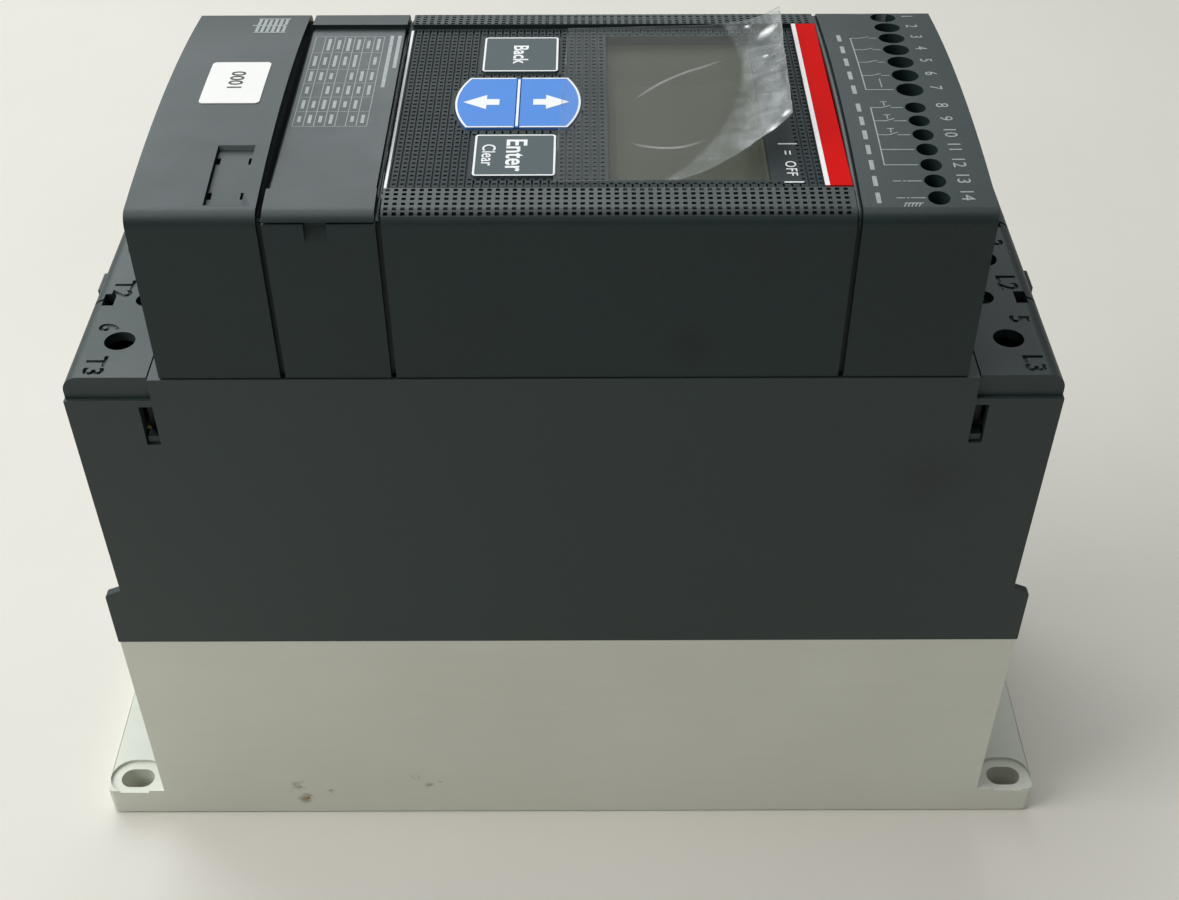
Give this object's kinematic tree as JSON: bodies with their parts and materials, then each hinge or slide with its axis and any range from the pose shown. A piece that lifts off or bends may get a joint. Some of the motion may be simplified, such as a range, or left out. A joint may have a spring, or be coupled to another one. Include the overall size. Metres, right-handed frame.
{
  "type": "soft starter",
  "caption": "Three-phase motor soft starter: dark plastic case with crowned keypad front and clip-on terminal covers on a finned, fan-cooled metal heat sink with slotted feet.",
  "frame": {"origin": "middle of the back plane, where the feet meet the wall", "axes": "+X towards the line terminals (up when hung on a wall), +Y across the width, +Z from the wall to the front"},
  "size_m": [0.245, 0.09, 0.1901],
  "materials": {
    "sink_metal": "die-cast, matt",
    "fan_plastic": "matt black",
    "case_plastic": "fine-grained slate grey moulding",
    "panel_plastic": "dark overlay with a dotted grain",
    "key_grey": "satin",
    "key_blue": "satin",
    "block_plastic": "moulded",
    "display": "unlit liquid-crystal display",
    "clear": "clear window",
    "film": "clear protective film",
    "strip_red": "printed bar",
    "sticker_white": "plain label",
    "board_green": "circuit board",
    "cable_grey": "flat cable",
    "steel": "zinc plated",
    "brass": "plain",
    "copper": "plain copper bar"
  },
  "bodies": {
    "starter": {"heat_sink": "sink_metal", "fan_frame_1": "fan_plastic", "fan_frame_2": "fan_plastic", "main_housing": "case_plastic", "line_terminal_tray": "case_plastic", "load_terminal_tray": "case_plastic", "housing_screws": "steel", "line_terminal_cover": "case_plastic", "load_terminal_cover": "case_plastic", "front_cover": "case_plastic", "label_cover": "case_plastic", "port_cover": "case_plastic", "keypad_panel": "panel_plastic", "key_switches": "block_plastic", "lcd_module": "display", "lcd_window": "clear", "type_strip": "strip_red", "protective_film": "film", "asset_sticker": "sticker_white", "control_board": "board_green", "relay_terminal_block": "block_plastic", "signal_terminal_block": "block_plastic", "control_terminal_screws": "steel", "power_board": "board_green", "ribbon_cable": "cable_grey", "ribbon_sockets": "block_plastic", "line_clamp_1": "brass", "line_clamp_2": "brass", "line_clamp_3": "brass", "load_clamp_1": "brass", "load_clamp_2": "brass", "load_clamp_3": "brass", "clamp_screws": "steel", "thyristor_module_1": "block_plastic", "thyristor_module_2": "block_plastic", "module_screws": "steel", "bypass_relay_1": "block_plastic", "bypass_relay_2": "block_plastic", "line_busbar_1": "copper", "line_busbar_3": "copper", "load_busbar_1": "copper", "load_busbar_3": "copper", "link_busbar": "copper", "current_transformer_1": "block_plastic", "current_transformer_2": "block_plastic", "current_transformer_3": "block_plastic"},
    "exit_key": {"exit_key": "key_grey"},
    "select_key": {"select_key": "key_grey"},
    "up_key": {"up_key": "key_blue"},
    "down_key": {"down_key": "key_blue"},
    "fan_rotor_1": {"fan_rotor_1": "fan_plastic"},
    "fan_rotor_2": {"fan_rotor_2": "fan_plastic"}
  },
  "joints": [
    {"name": "exit_key_press", "type": "slide", "parent": "starter", "child": "exit_key", "axis": [0, 0, -1], "range_m": [0, 0.0006], "stiffness_N_per_m": 2500},
    {"name": "select_key_press", "type": "slide", "parent": "starter", "child": "select_key", "axis": [0, 0, -1], "range_m": [0, 0.0006], "stiffness_N_per_m": 2500},
    {"name": "up_key_press", "type": "slide", "parent": "starter", "child": "up_key", "axis": [0, 0, -1], "range_m": [0, 0.0006], "stiffness_N_per_m": 2500},
    {"name": "down_key_press", "type": "slide", "parent": "starter", "child": "down_key", "axis": [0, 0, -1], "range_m": [0, 0.0006], "stiffness_N_per_m": 2500},
    {"name": "fan_spin_1", "type": "hinge", "parent": "starter", "child": "fan_rotor_1", "pos_m": [-0.1, -0.02015, 0.0288], "axis": [1, 0, 0], "continuous": true},
    {"name": "fan_spin_2", "type": "hinge", "parent": "starter", "child": "fan_rotor_2", "pos_m": [-0.1, 0.02015, 0.0288], "axis": [1, 0, 0], "continuous": true}
  ]
}
